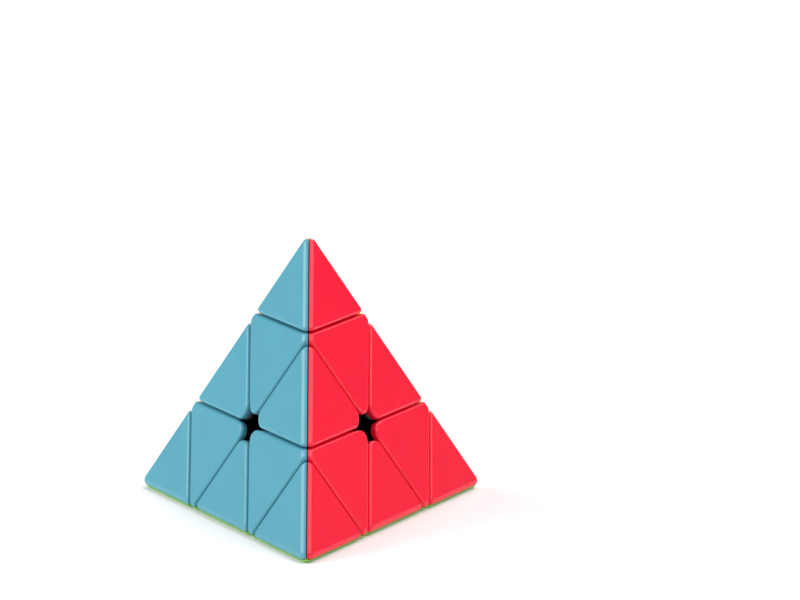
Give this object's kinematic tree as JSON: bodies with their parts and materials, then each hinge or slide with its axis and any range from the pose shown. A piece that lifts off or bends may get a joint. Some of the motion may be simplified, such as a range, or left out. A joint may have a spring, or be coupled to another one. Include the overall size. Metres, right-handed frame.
{
  "type": "pyramid twisty puzzle",
  "caption": "Stickerless four-sided pyramid puzzle: corner layers and small tips turn about a hidden core and shuffle the coloured triangles.",
  "frame": {"origin": "the core's centre, where the four turning axes cross, which is also the centroid", "axes": "+Z along the top tip's axis, with the green face down on -Z; the front corner points to -Y, so the blue face looks towards -X and -Y, the red face towards +X and -Y, and the yellow face towards +Y"},
  "size_m": [0.0966, 0.0843, 0.0798],
  "materials": {
    "blue_plastic": "satin",
    "red_plastic": "satin",
    "green_plastic": "satin",
    "yellow_plastic": "satin",
    "black_plastic": "semi-gloss",
    "steel": "bright"
  },
  "bodies": {
    "core": {"core_spider": "black_plastic", "axle_screw_top": "steel", "tension_spring_top": "steel", "axle_screw_front": "steel", "tension_spring_front": "steel", "axle_screw_left": "steel", "tension_spring_left": "steel", "axle_screw_right": "steel", "tension_spring_right": "steel"},
    "corner_top": {"corner_body_top": "black_plastic", "corner_shell_top_yellow": "yellow_plastic", "corner_shell_top_red": "red_plastic", "corner_shell_top_blue": "blue_plastic"},
    "tip_top": {"tip_body_top": "black_plastic", "tip_shell_top_yellow": "yellow_plastic", "tip_shell_top_red": "red_plastic", "tip_shell_top_blue": "blue_plastic"},
    "corner_front": {"corner_body_front": "black_plastic", "corner_shell_front_green": "green_plastic", "corner_shell_front_red": "red_plastic", "corner_shell_front_blue": "blue_plastic"},
    "tip_front": {"tip_body_front": "black_plastic", "tip_shell_front_green": "green_plastic", "tip_shell_front_red": "red_plastic", "tip_shell_front_blue": "blue_plastic"},
    "corner_left": {"corner_body_left": "black_plastic", "corner_shell_left_green": "green_plastic", "corner_shell_left_yellow": "yellow_plastic", "corner_shell_left_blue": "blue_plastic"},
    "tip_left": {"tip_body_left": "black_plastic", "tip_shell_left_green": "green_plastic", "tip_shell_left_yellow": "yellow_plastic", "tip_shell_left_blue": "blue_plastic"},
    "corner_right": {"corner_body_right": "black_plastic", "corner_shell_right_green": "green_plastic", "corner_shell_right_yellow": "yellow_plastic", "corner_shell_right_red": "red_plastic"},
    "tip_right": {"tip_body_right": "black_plastic", "tip_shell_right_green": "green_plastic", "tip_shell_right_yellow": "yellow_plastic", "tip_shell_right_red": "red_plastic"},
    "edge_top_front": {"edge_body_top_front": "black_plastic", "edge_shell_top_front_red": "red_plastic", "edge_shell_top_front_blue": "blue_plastic"},
    "edge_top_left": {"edge_body_top_left": "black_plastic", "edge_shell_top_left_yellow": "yellow_plastic", "edge_shell_top_left_blue": "blue_plastic"},
    "edge_top_right": {"edge_body_top_right": "black_plastic", "edge_shell_top_right_yellow": "yellow_plastic", "edge_shell_top_right_red": "red_plastic"},
    "edge_front_left": {"edge_body_front_left": "black_plastic", "edge_shell_front_left_green": "green_plastic", "edge_shell_front_left_blue": "blue_plastic"},
    "edge_front_right": {"edge_body_front_right": "black_plastic", "edge_shell_front_right_green": "green_plastic", "edge_shell_front_right_red": "red_plastic"},
    "edge_left_right": {"edge_body_left_right": "black_plastic", "edge_shell_left_right_green": "green_plastic", "edge_shell_left_right_yellow": "yellow_plastic"}
  },
  "joints": [
    {"name": "layer_top_turn", "type": "hinge", "parent": "core", "child": "corner_top", "pos_m": [0, 0, 0], "axis": [0, 0, 1], "range_deg": [-120, 240]},
    {"name": "layer_front_turn", "type": "hinge", "parent": "core", "child": "corner_front", "pos_m": [0, 0, 0], "axis": [0, -0.9428, -0.3333], "range_deg": [-120, 240]},
    {"name": "layer_left_turn", "type": "hinge", "parent": "core", "child": "corner_left", "pos_m": [0, 0, 0], "axis": [-0.8165, 0.4714, -0.3333], "range_deg": [-120, 240]},
    {"name": "layer_right_turn", "type": "hinge", "parent": "core", "child": "corner_right", "pos_m": [0, 0, 0], "axis": [0.8165, 0.4714, -0.3333], "range_deg": [-120, 240]},
    {"name": "tip_top_turn", "type": "hinge", "parent": "corner_top", "child": "tip_top", "pos_m": [0, 0, 0], "axis": [0, 0, 1], "continuous": true},
    {"name": "tip_front_turn", "type": "hinge", "parent": "corner_front", "child": "tip_front", "pos_m": [0, 0, 0], "axis": [0, -0.9428, -0.3333], "continuous": true},
    {"name": "tip_left_turn", "type": "hinge", "parent": "corner_left", "child": "tip_left", "pos_m": [0, 0, 0], "axis": [-0.8165, 0.4714, -0.3333], "continuous": true},
    {"name": "tip_right_turn", "type": "hinge", "parent": "corner_right", "child": "tip_right", "pos_m": [0, 0, 0], "axis": [0.8165, 0.4714, -0.3333], "continuous": true},
    {"name": "edge_top_front_with_front", "type": "hinge", "parent": "corner_top", "child": "edge_top_front", "pos_m": [0, 0, 0], "axis": [0, -0.9428, -0.3333], "range_deg": [-120, 240]},
    {"name": "edge_top_left_with_left", "type": "hinge", "parent": "corner_top", "child": "edge_top_left", "pos_m": [0, 0, 0], "axis": [-0.8165, 0.4714, -0.3333], "range_deg": [-120, 240]},
    {"name": "edge_top_right_with_right", "type": "hinge", "parent": "corner_top", "child": "edge_top_right", "pos_m": [0, 0, 0], "axis": [0.8165, 0.4714, -0.3333], "range_deg": [-120, 240]},
    {"name": "edge_front_left_with_left", "type": "hinge", "parent": "corner_front", "child": "edge_front_left", "pos_m": [0, 0, 0], "axis": [-0.8165, 0.4714, -0.3333], "range_deg": [-120, 240]},
    {"name": "edge_front_right_with_front", "type": "hinge", "parent": "corner_right", "child": "edge_front_right", "pos_m": [0, 0, 0], "axis": [0, -0.9428, -0.3333], "range_deg": [-120, 240]},
    {"name": "edge_left_right_with_right", "type": "hinge", "parent": "corner_left", "child": "edge_left_right", "pos_m": [0, 0, 0], "axis": [0.8165, 0.4714, -0.3333], "range_deg": [-120, 240]}
  ],
  "couplings": [
    {"joint": "edge_top_front_with_front", "follows": "layer_front_turn", "ratio": 1},
    {"joint": "edge_top_left_with_left", "follows": "layer_left_turn", "ratio": 1},
    {"joint": "edge_top_right_with_right", "follows": "layer_right_turn", "ratio": 1},
    {"joint": "edge_front_left_with_left", "follows": "layer_left_turn", "ratio": 1},
    {"joint": "edge_front_right_with_front", "follows": "layer_front_turn", "ratio": 1},
    {"joint": "edge_left_right_with_right", "follows": "layer_right_turn", "ratio": 1}
  ]
}
